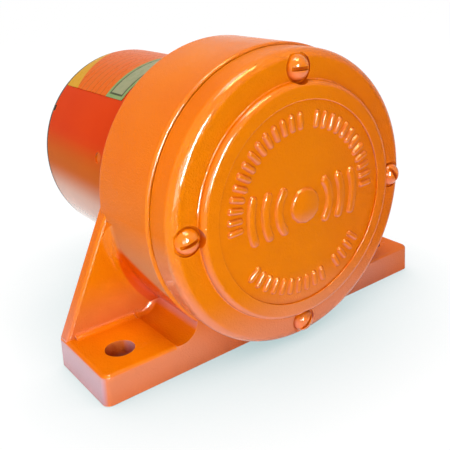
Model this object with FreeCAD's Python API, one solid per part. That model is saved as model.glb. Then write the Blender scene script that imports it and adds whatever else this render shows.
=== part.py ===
import FreeCAD, Part
import math
import os

os.makedirs("parts", exist_ok=True)

# A rotary electric vibrator: a cast housing on a two-bolt foot, an eccentric weight
# turning inside it and a brushed motor behind it.
# Millimetres. X runs along the foot, Y along the shaft towards the motor, Z up.
# The origin is midway between the two foot holes, on the underside of the foot.

Vector = FreeCAD.Vector
Y_AXIS = Vector(0, 1, 0)
X_AXIS = Vector(1, 0, 0)

# Foot
foot_end_margin = 13.8
foot_height = 12.2
foot_front = 13.5
foot_rear = 24.0
foot_end_draft = 0.7
foot_corner_round = 3.0
foot_rear_corner_round = 1.6
foot_edge_round = 1.6
hole_spacing = 133.0
hole_d = 11.0

# Drum of the housing
axis_height = 58.0
drum_d = 114.0
drum_wall = 8.0
drum_depth = 35.6
drum_front_round = 1.2
drum_rear_round = 1.6
bulkhead_thickness = 7.0
chamber_corner_round = 3.0
casting_overlap = 2.0

# Trough between each pad and the drum
trough_r = 7.5
trough_inset = 8.6
trough_bank_angle = 73.74
web_run_in = 12.0

# Gusset on each side
gusset_thickness = 6.6
gusset_edge_round = 1.4
gusset_root_round = 2.6
gusset_drum_round = 5.0
gusset_top_drop = 1.0
gusset_end_inset = 0.3
gusset_rear_inset = 0.2
gusset_run_in = 6.0
cove_overlap = 0.8
cove_backing = 0.5

# Front cover
cover_setback = 1.0
cover_depth = 13.0
cover_edge_round = 4.0
ring_setback = 10.7
ring_width = 6.6
ring_height = 2.8
ring_shoulder_round = 2.3
ring_root_round = 0.45
ring_inner_round = 0.3
disc_recess = 0.8
cover_floor_thickness = 5.0
cover_rim_width = 13.0
cover_inside_round = 2.0
cover_boss_round = 0.8
gasket_thickness = 0.8
gasket_setback = 1.3
gasket_inner_margin = 2.0

# Cover screws
screw_edge_distance = 7.5
screw_count = 4
screw_d = 5.0
screw_length = 25.0
screw_tip_chamfer = 0.8
screw_head_d = 9.2
screw_head_height = 3.8
screw_dome_angle = 40.0
screw_slot_width = 1.4
screw_slot_depth = 1.9
screw_slot_angles = (-58.0, 0.0, 15.0, 40.0)
screw_clearance = 0.25
spot_face_d = 11.0
spot_face_depth = 0.8
screw_boss_d = 14.0
screw_boss_extra = 3.0
screw_hole_extra = 1.0

# Shaft
front_journal_d = 12.0
weight_seat_d = 15.0
armature_seat_d = 14.0
rear_journal_d = 10.0
shaft_end_chamfer = 0.8
shaft_front_reach = 0.6
shaft_end_gap = 1.0
shaft_step_gap = 1.0

# Ball bearings: bore follows the shaft
front_bearing_d = 32.0
front_bearing_width = 10.0
front_ball_count = 7
middle_bearing_d = 35.0
middle_bearing_width = 11.0
middle_ball_count = 8
ball_d = 6.0
ball_clearance = 0.06
race_shoulder = 2.2
cage_thickness = 1.6
cage_side_wall = 0.7
race_edge_round = 0.6
wave_washer_height = 1.2
wave_washer_sheet = 0.4
wave_washer_waves = 3
wave_washer_points = 8
wave_washer_width = 3.0
wave_washer_fit = 0.3
bearing_boss_wall = 5.0
bearing_boss_round = 1.0
bearing_lip = 3.5
bearing_floor_thickness = 1.5
circlip_thickness = 1.2
circlip_depth = 1.1
circlip_fit = 0.1
circlip_inner_reach = 1.6
circlip_edge = 1.3
circlip_gap_angle = 50.0
circlip_lug_d = 4.0
circlip_hole_d = 1.6
circlip_lug_overlap = 1.2
circlip_lug_spread = 1.2

# Shaft seal
seal_d = 26.0
seal_width = 6.0
seal_wall = 1.5
seal_edge_round = 0.5
seal_lip_clearance = 0.05
seal_lip_root = 2.6
seal_lip_back = (1.8, 4.2)
seal_lip_tip = 3.2
seal_lip_nose = 0.9
seal_boss_wall = 3.0

# Eccentric weight
weight_clearance = 2.5
weight_running_gap = 0.8
weight_thickness = 11.0
weight_flat_drop = 2.0
weight_hub_d = 30.0
weight_corner_round = 4.0
weight_edge_chamfer = 0.8
key_width = 5.0
key_height = 5.0
key_depth = 3.0
key_chamfer = 0.5
set_screw_d = 6.0
set_screw_flat_depth = 0.6
set_screw_socket_width = 3.0
set_screw_socket_depth = 2.5
set_screw_sink = 0.6
spacer_wall = 2.5
front_spacer_length = 2.5

# Motor shell
shell_d = 90.0
shell_wall = 4.0
shell_length = 84.3
shell_fit = 0.1
shell_edge_round = 0.4
rim_notch_width = 2.6
rim_notch_depth = 1.7
rim_notch_angles = (32.0, 148.0)

# Field magnets and their screws
magnet_thickness = 7.0
magnet_overhang = 2.0
magnet_span = 130.0
magnet_screw_angle = 15.0
magnet_screw_d = 3.0
magnet_screw_head_d = 4.4
magnet_screw_seat_depth = 1.8
magnet_screw_sink = 0.5
magnet_screw_grip = 3.0

# Armature
air_gap = 0.6
end_turn_clearance = 2.25
slot_count = 12
slot_width = 5.4
slot_depth = 11.0
slot_mouth_width = 2.2
slot_lip = 1.8
slot_corner_round = 1.2
winding_gap = 0.25
end_turn_length = 7.5
end_turn_inner_d = 30.0
end_turn_setback = 2.9
end_turn_core_gap = 0.4
end_turn_round = 3.2

# Commutator and brushes
commutator_d = 24.0
commutator_length = 13.0
commutator_gap = 1.5
riser_rise = 2.5
riser_edge_round = 0.4
commutator_edge_round = 0.6
riser_width = 2.0
segment_count = 12
segment_slit = 0.7
segment_slit_depth = 1.0
brush_width = 8.8
brush_thickness = 6.8
brush_length = 11.0
brush_track_offset = 5.6
brush_lift = 0.1
brush_fit = 0.1
holder_wall = 1.0
holder_bolt_gap = 2.5
holder_standoff = 2.0
holder_riser_gap = 0.5
holder_post_inset = 3.0
holder_window_inset = 1.5
spring_wire_d = 1.1
spring_coil_d = 5.6
spring_pitch = 1.845
spring_end_gap = 0.1
brush_plate_thickness = 2.5
brush_plate_hole_margin = 3.5
brush_plate_fit = 0.2
plate_screw_angles = (0, 180)
plate_screw_d = 3.0
plate_screw_head_d = 4.6
plate_screw_head_height = 2.0
plate_screw_length = 8.0
plate_screw_tip_gap = 0.5

# Rear end cap and what it carries
cap_rim_thickness = 1.2
cap_rim_round = 0.5
cap_inside_round = 1.5
cap_wall = 2.6
cap_spigot_wall = 5.0
cap_spigot_length = 8.7
cap_fit = 0.05
cap_hub_wall = 3.5
cap_hub_floor = 3.0
cap_hub_round = 1.5
bush_d = 17.0
bush_length = 9.0
bush_clearance = 0.03
retainer_thickness = 0.6
retainer_clearance = 0.4
retainer_setback = 0.5
retainer_finger_count = 6
retainer_finger_slot = 1.6
thrust_washer_d = 13.0
thrust_washer_thickness = 1.0
thrust_washer_count = 2
thrust_play = 0.3
through_bolt_angles = (90, 270)
through_bolt_d = 4.0
through_bolt_setback = 0.8
through_bolt_head_d = 7.0
through_bolt_head_height = 3.0
through_bolt_slot_width = 1.1
through_bolt_slot_depth = 1.2
through_bolt_thread = 6.5
through_bolt_tip_gap = 0.4
through_bolt_clearance = 0.3

# Cord inlet in the end cap
inlet_bolt_gap = 0.7
inlet_bore_d = 7.0
inlet_neck_d = 12.0
inlet_flange_d = 18.0
inlet_flange_thickness = 2.6
inlet_nose_d = 10.6
inlet_nose_length = 9.0
inlet_tail = 3.0
inlet_tail_round = 0.8
inlet_flange_round = 1.0
inlet_nose_flare = 1.0
inlet_nose_root_round = 0.8
inlet_nose_round = 1.2

# Type label over the top of the shell
label_thickness = 0.25
label_glue = 0.05
label_span = 86.0
label_length = 52.0
label_rear_margin = 1.0

# How far a cutting tool reaches past what it cuts, and how close edges count as the same
overcut = 1.0
edge_match = 0.01

# Radii and widths that several pieces share
drum_r = drum_d / 2
chamber_r = drum_r - drum_wall
cover_r = drum_r - cover_setback
cover_rim_inner_r = cover_r - cover_rim_width
ring_base_r = cover_r - ring_setback
disc_r = ring_base_r - ring_width
screw_circle_r = drum_r - screw_edge_distance
weight_r = screw_circle_r - screw_boss_d / 2 - weight_clearance
shell_r = shell_d / 2
shell_inner_r = shell_r - shell_wall
armature_r = shell_inner_r - magnet_thickness - air_gap
slot_floor_r = armature_r - slot_lip - slot_depth
end_turn_outer_r = armature_r - end_turn_setback
riser_r = commutator_d / 2 + riser_rise
brush_face_r = commutator_d / 2 + brush_lift
brush_back_r = brush_face_r + brush_length
plate_screw_circle_r = shell_inner_r - cap_spigot_wall / 2
through_bolt_circle_r = shell_inner_r - through_bolt_d / 2 - through_bolt_setback
holder_outer_r = through_bolt_circle_r - through_bolt_d / 2 - holder_bolt_gap
spring_base_r = holder_outer_r - holder_wall
spring_length = spring_base_r - brush_back_r
inlet_drop = through_bolt_circle_r - through_bolt_head_d / 2 - inlet_bolt_gap - inlet_flange_d / 2

# Foot and trough
foot_length = hole_spacing + 2 * foot_end_margin
trough_x = drum_r - trough_inset
trough_z = foot_height + trough_r * math.sin(math.radians(trough_bank_angle))
trough_outer_x = trough_x + trough_r * math.cos(math.radians(trough_bank_angle))
gusset_front = foot_rear - gusset_thickness

# Places along the shaft: cover and drum
drum_front = -foot_front
drum_rear = drum_front + drum_depth
cover_rear = drum_front - gasket_thickness
cover_front = cover_rear - cover_depth + gasket_thickness
ring_front = cover_front - ring_height
disc_front = ring_front + disc_recess
cover_inner_face = cover_front + cover_floor_thickness
screw_seat = cover_front + spot_face_depth
screw_tip = screw_seat + screw_length

# Places along the shaft: front bearing, weight, middle bearing, seal
front_bearing_rear = cover_rear
front_bearing_front = front_bearing_rear - front_bearing_width
front_pocket_floor = front_bearing_front - wave_washer_height
shaft_front = front_bearing_front - shaft_front_reach
weight_front = front_bearing_rear + front_spacer_length
weight_rear = weight_front + weight_thickness
weight_middle = (weight_front + weight_rear) / 2
boss_front = weight_rear + weight_running_gap
circlip_front = boss_front + circlip_edge
middle_bearing_front = circlip_front + circlip_thickness
middle_bearing_rear = middle_bearing_front + middle_bearing_width
bulkhead_rear = middle_bearing_rear + bearing_floor_thickness
bulkhead_front = bulkhead_rear - bulkhead_thickness
seal_front = middle_bearing_rear + bearing_lip / 2
seal_rear = seal_front + seal_width

# Places along the shaft: motor, from both ends of the shell inwards
shell_front = bulkhead_rear
shell_rear = shell_front + shell_length
cap_rear = shell_rear + cap_rim_thickness
cap_inside = cap_rear - cap_wall
brush_plate_rear = shell_rear - cap_spigot_length
brush_plate_front = brush_plate_rear - brush_plate_thickness
brush_rear = brush_plate_front - holder_standoff - holder_wall - brush_fit
brush_front = brush_rear - brush_thickness
brush_middle = (brush_front + brush_rear) / 2
commutator_front = brush_middle - brush_track_offset
commutator_rear = commutator_front + commutator_length
riser_front = commutator_front - riser_width
armature_front = seal_rear + end_turn_clearance + end_turn_length
armature_rear = riser_front - commutator_gap - end_turn_length
armature_length = armature_rear - armature_front
magnet_front = armature_front - magnet_overhang
magnet_rear = armature_rear + magnet_overhang
magnet_middle = (magnet_front + magnet_rear) / 2
bush_front = commutator_rear + thrust_washer_count * thrust_washer_thickness + thrust_play
bush_rear = bush_front + bush_length
hub_rear = bush_rear + cap_hub_floor
shaft_rear = bush_rear - shaft_end_gap
inlet_front = cap_inside - inlet_tail
inlet_flange_rear = cap_rear + inlet_flange_thickness
inlet_rear = inlet_flange_rear + inlet_nose_length


def place_on_axis(shape):
    shape.translate(Vector(0, 0, axis_height))
    return shape


def rounded_edges(corners, to_space):
    """Edges of a closed outline whose corners (u, v, round) may be rounded."""
    points = [Vector(c[0], c[1], 0) for c in corners]
    rounds = [c[2] if len(c) > 2 else 0 for c in corners]
    starts, ends, middles = [], [], []
    for i, point in enumerate(points):
        if rounds[i] == 0:
            starts.append(point)
            ends.append(point)
            middles.append(None)
            continue
        before = (points[i - 1] - point).normalize()
        after = (points[(i + 1) % len(points)] - point).normalize()
        half = before.getAngle(after) / 2
        reach = rounds[i] / math.tan(half)
        inward = (before + after).normalize()
        starts.append(point + before * reach)
        ends.append(point + after * reach)
        middles.append(point + inward * (rounds[i] / math.sin(half) - rounds[i]))
    edges = []
    for i in range(len(points)):
        if middles[i] is not None:
            edges.append(Part.Arc(to_space(starts[i]), to_space(middles[i]), to_space(ends[i])).toShape())
        following = starts[(i + 1) % len(points)]
        if (following - ends[i]).Length > 1e-6:
            edges.append(Part.makeLine(to_space(ends[i]), to_space(following)))
    return edges


def outline_face(corners, to_space):
    return Part.Face(Part.Wire(Part.__sortEdges__(rounded_edges(corners, to_space))))


def turned(corners):
    """Solid of revolution about the shaft from (radius, y, round) corners."""
    face = outline_face(corners, lambda p: Vector(p.x, p.y, 0))
    return place_on_axis(face.revolve(Vector(0, 0, 0), Y_AXIS, 360))


def plate(corners, front, rear):
    """Solid with an (x, z, round) outline, from y = front to y = rear."""
    face = outline_face(corners, lambda p: Vector(p.x, front, p.y))
    return face.extrude(Vector(0, rear - front, 0))


def rod(radius, front, rear, x=0.0, z=axis_height):
    return Part.makeCylinder(radius, rear - front, Vector(x, front, z), Y_AXIS)


def ring(outer_r, inner_r, front, rear, edge_round=0.0):
    corners = [(outer_r, front, edge_round), (outer_r, rear, edge_round), (inner_r, rear), (inner_r, front)]
    return turned(corners)


def box(x_size, y_front, y_rear, z_low, z_high):
    return Part.makeBox(x_size, y_rear - y_front, z_high - z_low, Vector(-x_size / 2, y_front, z_low))


def spun(shape, angle):
    """A copy turned about the shaft; angle 0 points along +X, 90 up."""
    copy = shape.copy()
    copy.rotate(Vector(0, 0, axis_height), Y_AXIS, -angle)
    return copy


def repeated(shape, count, first_angle=0.0):
    return [spun(shape, first_angle + i * 360.0 / count) for i in range(count)]


def mirrored(shape):
    return shape.mirror(Vector(0, 0, 0), Vector(1, 0, 0))


def fused(shapes):
    return shapes[0].multiFuse(shapes[1:]).removeSplitter()


def edges_where(shape, test):
    return [edge for edge in shape.Edges if test(edge)]


def middle_of(edge):
    return edge.valueAt((edge.FirstParameter + edge.LastParameter) / 2)


def screw_angles():
    return [i * 360.0 / screw_count for i in range(screw_count)]


def foot_bar():
    half = foot_length / 2
    top_half = half - foot_end_draft
    corners = [(-half, 0), (half, 0), (top_half, foot_height), (-top_half, foot_height)]
    bar = plate(corners, -foot_front, foot_rear)
    for round_r, y in ((foot_corner_round, -foot_front), (foot_rear_corner_round, foot_rear)):
        upright = edges_where(bar, lambda e: e.BoundBox.ZLength > foot_height - edge_match
                              and abs(middle_of(e).y - y) < edge_match)
        bar = bar.makeFillet(round_r, upright)
    top = edges_where(bar, lambda e: e.BoundBox.ZMin > foot_height - edge_match)
    return bar.makeFillet(foot_edge_round, top)


def trough_web(side):
    """Casting between pad and drum, up to where the trough's wall meets the drum."""
    inner = trough_x - trough_r - web_run_in
    web = Part.makeBox(trough_outer_x - inner, foot_front + foot_rear, trough_z,
                       Vector(inner, -foot_front, 0))
    return web if side > 0 else mirrored(web)


def trough_cut(side):
    return rod(trough_r, -foot_front - overcut, gusset_front, side * trough_x, trough_z)


def gusset_outline(inset):
    """Front outline of the right gusset, its sloped side moved in by inset."""
    foot_x = foot_length / 2 - foot_end_draft - gusset_end_inset - inset
    low = foot_height - foot_edge_round
    rise = axis_height - gusset_top_drop - foot_height
    lean = (foot_x - drum_r + inset) / rise
    top_z = axis_height - gusset_top_drop + gusset_run_in
    top_x = drum_r - inset - gusset_run_in * lean
    return [(foot_x, low), (foot_x, foot_height), (top_x, top_z), (top_x - gusset_run_in, top_z),
            (trough_x - trough_r - gusset_run_in, low)]


def cove(edge, toward, radius):
    """Outline (u, y) of the hollow fillet between a gusset's front face and a surface at u = edge."""
    far = edge + toward * radius
    near = gusset_front - radius
    behind = edge - toward * cove_backing
    bend = Vector(edge + toward * radius * (1 - math.sqrt(0.5)), near + radius * math.sqrt(0.5), 0)
    back = [Vector(far, gusset_front, 0), Vector(far, gusset_front + cove_backing, 0),
            Vector(behind, gusset_front + cove_backing, 0), Vector(behind, near, 0), Vector(edge, near, 0)]
    hollow = Part.Arc(back[-1], bend, back[0]).toShape()
    return Part.Face(Part.Wire([hollow] + Part.makePolygon(back).Edges))


def gusset_coves():
    """Hollow fillets where the right gusset meets drum, pad and trough."""
    drum_cove = place_on_axis(cove(drum_r, 1, gusset_drum_round).revolve(Vector(0, 0, 0), Y_AXIS, 360))
    beside = plate(gusset_outline(gusset_edge_round), gusset_front - gusset_drum_round - overcut,
                   gusset_front + cove_backing / 2)
    pad_cove = cove(foot_height, 1, gusset_root_round)
    pad_cove.rotate(Vector(0, 0, 0), Y_AXIS, -90)
    pad_cove.translate(Vector(trough_outer_x - cove_overlap, 0, 0))
    pad_end = foot_length / 2 - foot_end_draft - foot_corner_round
    pad_cove = pad_cove.extrude(Vector(pad_end - trough_outer_x, 0, 0))
    trough_cove = cove(trough_r, -1, gusset_root_round).revolve(Vector(0, 0, 0), Y_AXIS, 360)
    trough_cove.translate(Vector(trough_x, 0, trough_z))
    inner = trough_x - trough_r - overcut
    limits = Part.makeBox(trough_outer_x + cove_overlap - inner, gusset_root_round + 2 * overcut, trough_z,
                          Vector(inner, gusset_front - gusset_root_round - overcut, 0))
    return [drum_cove.common(beside), pad_cove, trough_cove.common(limits)]


def gusset(side):
    web = plate(gusset_outline(0), gusset_front, foot_rear - gusset_rear_inset)
    sloped = edges_where(web, lambda e: e.BoundBox.YLength < edge_match and e.BoundBox.ZLength > foot_height
                         and middle_of(e).x > drum_r)
    web = web.makeFillet(gusset_edge_round, sloped)
    inside = rod(drum_r - casting_overlap, gusset_front - gusset_drum_round - overcut, foot_rear + overcut)
    web = fused([web] + gusset_coves()).cut(inside)
    return web if side > 0 else mirrored(web)


def drum():
    pocket_r = middle_bearing_d / 2
    groove_r = pocket_r + circlip_depth
    boss_r = pocket_r + bearing_boss_wall
    seal_boss_r = seal_d / 2 + seal_boss_wall
    shell_seat_r = shell_r + shell_fit
    corners = [
        (drum_r, drum_front, drum_front_round),
        (drum_r, drum_rear, drum_rear_round),
        (shell_seat_r, drum_rear),
        (shell_seat_r, bulkhead_rear),
        (seal_boss_r, bulkhead_rear),
        (seal_boss_r, seal_rear),
        (seal_d / 2, seal_rear),
        (seal_d / 2, seal_front),
        (pocket_r - bearing_lip, seal_front),
        (pocket_r - bearing_lip, middle_bearing_rear),
        (pocket_r, middle_bearing_rear),
        (pocket_r, middle_bearing_front),
        (groove_r, middle_bearing_front),
        (groove_r, circlip_front),
        (pocket_r, circlip_front),
        (pocket_r, boss_front),
        (boss_r, boss_front, bearing_boss_round),
        (boss_r, bulkhead_front, chamber_corner_round),
        (chamber_r, bulkhead_front, chamber_corner_round),
        (chamber_r, drum_front),
    ]
    return turned(corners)


def screw_boss(angle):
    rear = screw_tip + screw_boss_extra
    boss = rod(screw_boss_d / 2, drum_front, rear, screw_circle_r)
    return spun(boss.common(rod(drum_r - casting_overlap, drum_front, rear)), angle)


def housing():
    foot = fused([foot_bar(), trough_web(1), trough_web(-1)])
    inside = rod(drum_r - casting_overlap, -foot_front - overcut, foot_rear + overcut)
    foot = foot.cut([trough_cut(1), trough_cut(-1), inside])
    body = fused([drum(), foot] + [screw_boss(angle) for angle in screw_angles()])
    body = fused([body, gusset(1), gusset(-1)])
    holes = []
    for side in (1, -1):
        low = Vector(side * hole_spacing / 2, 0, -overcut)
        holes.append(Part.makeCylinder(hole_d / 2, foot_height + 2 * overcut, low))
    for angle in screw_angles():
        hole = rod(screw_d / 2, drum_front - overcut, screw_tip + screw_hole_extra, screw_circle_r)
        holes.append(spun(hole, angle))
    for angle in through_bolt_angles:
        tap = rod(through_bolt_d / 2, bulkhead_rear - through_bolt_thread - through_bolt_tip_gap,
                  bulkhead_rear + overcut, through_bolt_circle_r)
        holes.append(spun(tap, angle))
    return body.cut(holes)


def front_cover():
    pocket_r = front_bearing_d / 2
    corners = [
        (0, disc_front),
        (disc_r, disc_front),
        (disc_r, ring_front, ring_inner_round),
        (ring_base_r, ring_front, ring_shoulder_round),
        (ring_base_r, cover_front, ring_root_round),
        (cover_r, cover_front, cover_edge_round),
        (cover_r, cover_rear),
        (cover_rim_inner_r, cover_rear),
        (cover_rim_inner_r, cover_inner_face, cover_inside_round),
        (pocket_r + bearing_boss_wall, cover_inner_face, cover_inside_round),
        (pocket_r + bearing_boss_wall, cover_rear, cover_boss_round),
        (pocket_r, cover_rear),
        (pocket_r, front_pocket_floor),
        (0, front_pocket_floor),
    ]
    cover = turned(corners)
    cuts = []
    for angle in screw_angles():
        spot = rod(spot_face_d / 2, ring_front - overcut, screw_seat, screw_circle_r)
        hole = rod(screw_d / 2 + screw_clearance, cover_front, cover_rear + overcut, screw_circle_r)
        cuts += [spun(spot, angle), spun(hole, angle)]
    return cover.cut(cuts)


def cover_gasket():
    gasket = ring(cover_r - gasket_setback, cover_rim_inner_r + gasket_inner_margin, cover_rear, drum_front)
    hole = rod(screw_d / 2 + screw_clearance, cover_rear - overcut, drum_front + overcut, screw_circle_r)
    return gasket.cut([spun(hole, angle) for angle in screw_angles()])


def cover_screw(slot_angle):
    """Round-head slotted screw, made on the shaft line with its seat at y = 0."""
    head_r = screw_head_d / 2
    rim = Vector(head_r, 0, 0)
    slope = math.radians(screw_dome_angle)
    side = Vector(head_r * math.cos(slope), -screw_head_height * math.sin(slope), 0)
    crown = Vector(0, -screw_head_height, 0)
    dome = Part.Wire([Part.Arc(rim, side, crown).toShape(), Part.makeLine(crown, Vector(0, 0, 0)),
                      Part.makeLine(Vector(0, 0, 0), rim)])
    head = place_on_axis(Part.Face(dome).revolve(Vector(0, 0, 0), Y_AXIS, 360))
    slot = box(screw_head_d + 2 * overcut, -screw_head_height - overcut, screw_slot_depth - screw_head_height,
               axis_height - screw_slot_width / 2, axis_height + screw_slot_width / 2)
    shank = turned([(0, 0), (screw_d / 2, 0), (screw_d / 2, screw_length - screw_tip_chamfer),
                    (screw_d / 2 - screw_tip_chamfer, screw_length), (0, screw_length)])
    return fused([head.cut(spun(slot, slot_angle)), shank])


def cover_screws():
    screws = []
    for angle, slot_angle in zip(screw_angles(), screw_slot_angles):
        screw = cover_screw(slot_angle)
        screw.translate(Vector(screw_circle_r * math.cos(math.radians(angle)), screw_seat,
                               screw_circle_r * math.sin(math.radians(angle))))
        screws.append(screw)
    return Part.makeCompound(screws)


def bearing_radii(bore_d, outer_d):
    pitch_r = (bore_d + outer_d) / 4
    return pitch_r, pitch_r - race_shoulder, pitch_r + race_shoulder


def bearing(bore_d, outer_d, front, rear, ball_count):
    """Outer race, inner race, balls and cage of one deep-groove bearing."""
    pitch_r, inner_top, outer_top = bearing_radii(bore_d, outer_d)
    middle = (front + rear) / 2
    groove = Part.makeTorus(pitch_r, ball_d / 2 + ball_clearance, Vector(0, middle, axis_height), Y_AXIS)
    outer_race = ring(outer_d / 2, outer_top, front, rear, race_edge_round).cut(groove)
    inner_race = ring(inner_top, bore_d / 2, front, rear, race_edge_round / 2).cut(groove)
    ball = Part.makeSphere(ball_d / 2, Vector(pitch_r, middle, axis_height))
    balls = repeated(ball, ball_count)
    pocket = Part.makeCylinder(ball_d / 2 + ball_clearance, 2 * cage_thickness,
                               Vector(pitch_r - cage_thickness, middle, axis_height), X_AXIS)
    cage_half = ball_d / 2 + cage_side_wall
    cage = ring(pitch_r + cage_thickness / 2, pitch_r - cage_thickness / 2, middle - cage_half,
                middle + cage_half)
    cage = cage.cut(repeated(pocket, ball_count))
    return outer_race, inner_race, Part.makeCompound(balls), cage


def wave_washer():
    """Wavy spring ring between the cover's pocket floor and the front outer race."""
    outer_r = front_bearing_d / 2 - wave_washer_fit
    inner_r = outer_r - wave_washer_width
    middle = (front_pocket_floor + front_bearing_front) / 2
    swing = (wave_washer_height - wave_washer_sheet) / 2
    loops = []
    for radius in (inner_r, outer_r):
        points = []
        steps = wave_washer_waves * wave_washer_points
        for i in range(steps):
            turn = 2 * math.pi * i / steps
            y = middle - wave_washer_sheet / 2 + swing * math.cos(wave_washer_waves * turn)
            points.append(Vector(radius * math.cos(turn), y, radius * math.sin(turn)))
        curve = Part.BSplineCurve()
        curve.interpolate(Points=points, PeriodicFlag=True)
        loops.append(curve.toShape())
    sheet = Part.makeRuledSurface(loops[0], loops[1])
    return place_on_axis(sheet.extrude(Vector(0, wave_washer_sheet, 0)))


def bearing_retaining_ring():
    pocket_r = middle_bearing_d / 2
    outer_r = pocket_r + circlip_depth - circlip_fit
    inner_r = pocket_r - circlip_inner_reach
    clip = ring(outer_r, inner_r, circlip_front, middle_bearing_front)
    gap = math.radians(circlip_gap_angle / 2)
    reach = outer_r * 2
    wedge = plate([(0, axis_height), (reach * math.sin(-gap), axis_height + reach * math.cos(gap)),
                   (reach * math.sin(gap), axis_height + reach * math.cos(gap))],
                  circlip_front - overcut, middle_bearing_front + overcut)
    clip = clip.cut(wedge)
    lug_r = inner_r - circlip_lug_d / 2 + circlip_lug_overlap
    lugs, holes = [], []
    for side in (1, -1):
        x = side * lug_r * math.sin(gap * circlip_lug_spread)
        z = axis_height + lug_r * math.cos(gap * circlip_lug_spread)
        lugs.append(rod(circlip_lug_d / 2, circlip_front, middle_bearing_front, x, z))
        holes.append(rod(circlip_hole_d / 2, circlip_front - overcut, middle_bearing_front + overcut, x, z))
    return fused([clip] + lugs).cut(holes)


def shaft_seal():
    lip_r = weight_seat_d / 2 + seal_lip_clearance
    outer_r = seal_d / 2
    corners = [
        (outer_r, seal_front, seal_edge_round),
        (outer_r, seal_rear, seal_edge_round),
        (outer_r - seal_wall, seal_rear),
        (outer_r - seal_wall, seal_front + seal_wall),
        (lip_r + seal_lip_root, seal_front + seal_wall),
        (lip_r + seal_lip_back[0], seal_front + seal_lip_back[1]),
        (lip_r, seal_front + seal_lip_tip),
        (lip_r + seal_lip_nose, seal_front),
    ]
    return turned(corners)


def keyway():
    seat_r = weight_seat_d / 2
    return Part.makeBox(key_width, weight_thickness, key_height,
                        Vector(-key_width / 2, weight_front, axis_height - seat_r - key_height + key_depth))


def shaft():
    corners = [
        (0, shaft_front),
        (front_journal_d / 2 - shaft_end_chamfer, shaft_front),
        (front_journal_d / 2, shaft_front + shaft_end_chamfer),
        (front_journal_d / 2, front_bearing_rear),
        (weight_seat_d / 2, front_bearing_rear),
        (weight_seat_d / 2, seal_rear + shaft_step_gap),
        (armature_seat_d / 2, seal_rear + shaft_step_gap),
        (armature_seat_d / 2, commutator_rear),
        (rear_journal_d / 2, commutator_rear),
        (rear_journal_d / 2, shaft_rear - shaft_end_chamfer),
        (rear_journal_d / 2 - shaft_end_chamfer, shaft_rear),
        (0, shaft_rear),
    ]
    flat = box(weight_seat_d, weight_middle - set_screw_d / 2, weight_middle + set_screw_d / 2,
               axis_height + weight_seat_d / 2 - set_screw_flat_depth, axis_height + weight_seat_d)
    return turned(corners).cut([keyway(), flat])


def eccentric_weight():
    """Half-disc on a hub, heavy side down, keyed to the shaft."""
    hub_r = weight_hub_d / 2
    flat_z = axis_height - weight_flat_drop
    lower = rod(weight_r, weight_front, weight_rear)
    lower = lower.common(box(4 * weight_r, weight_front, weight_rear, axis_height - 2 * weight_r, flat_z))
    tips = edges_where(lower, lambda e: abs(e.BoundBox.YLength - weight_thickness) < edge_match
                       and abs(middle_of(e).z - flat_z) < edge_match)
    lower = lower.makeFillet(weight_corner_round, tips)
    weight = fused([lower, rod(hub_r, weight_front, weight_rear)])
    rim = edges_where(weight, lambda e: e.BoundBox.YLength < edge_match and e.BoundBox.XLength > weight_r)
    weight = weight.makeChamfer(weight_edge_chamfer, rim)
    bore = rod(weight_seat_d / 2, weight_front - overcut, weight_rear + overcut)
    screw_hole = Part.makeCylinder(set_screw_d / 2, hub_r + overcut, Vector(0, weight_middle, axis_height))
    return weight.cut([bore, keyway(), screw_hole])


def weight_key():
    key = keyway()
    upright = edges_where(key, lambda e: e.BoundBox.ZLength > key_height - edge_match)
    return key.makeChamfer(key_chamfer, upright)


def weight_set_screw():
    """Grub screw through the hub onto the flat of the shaft, with a hexagon socket."""
    low = axis_height + weight_seat_d / 2 - set_screw_flat_depth
    high = axis_height + weight_hub_d / 2 - set_screw_sink
    screw = Part.makeCylinder(set_screw_d / 2, high - low, Vector(0, weight_middle, low))
    corner_r = set_screw_socket_width / math.sqrt(3)
    corners = [(corner_r * math.cos(i * math.pi / 3), corner_r * math.sin(i * math.pi / 3)) for i in range(6)]
    floor = high - set_screw_socket_depth
    socket = outline_face(corners, lambda p: Vector(p.x, weight_middle + p.y, floor))
    return screw.cut(socket.extrude(Vector(0, 0, set_screw_socket_depth + overcut)))


def spacer_sleeves():
    front = ring(weight_seat_d / 2 + spacer_wall, weight_seat_d / 2, front_bearing_rear, weight_front)
    rear = ring(weight_seat_d / 2 + spacer_wall, weight_seat_d / 2, weight_rear, middle_bearing_front)
    return Part.makeCompound([front, rear])


def armature_core():
    core = ring(armature_r, armature_seat_d / 2, armature_front, armature_rear)
    slot = Part.makeBox(slot_depth, armature_length, slot_width,
                        Vector(slot_floor_r, armature_front, axis_height - slot_width / 2))
    long_edges = edges_where(slot, lambda e: e.BoundBox.YLength > armature_length - edge_match)
    slot = slot.makeFillet(slot_corner_round, long_edges)
    mouth_floor_r = armature_r - slot_lip - overcut
    mouth = Part.makeBox(slot_lip + 2 * overcut, armature_length, slot_mouth_width,
                         Vector(mouth_floor_r, armature_front, axis_height - slot_mouth_width / 2))
    cuts = repeated(slot, slot_count) + repeated(mouth, slot_count)
    return core.cut(cuts)


def end_turn(front, rear, front_round, rear_round):
    return turned([(end_turn_outer_r, front, front_round), (end_turn_outer_r, rear, rear_round),
                   (end_turn_inner_d / 2, rear, rear_round), (end_turn_inner_d / 2, front, front_round)])


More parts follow.
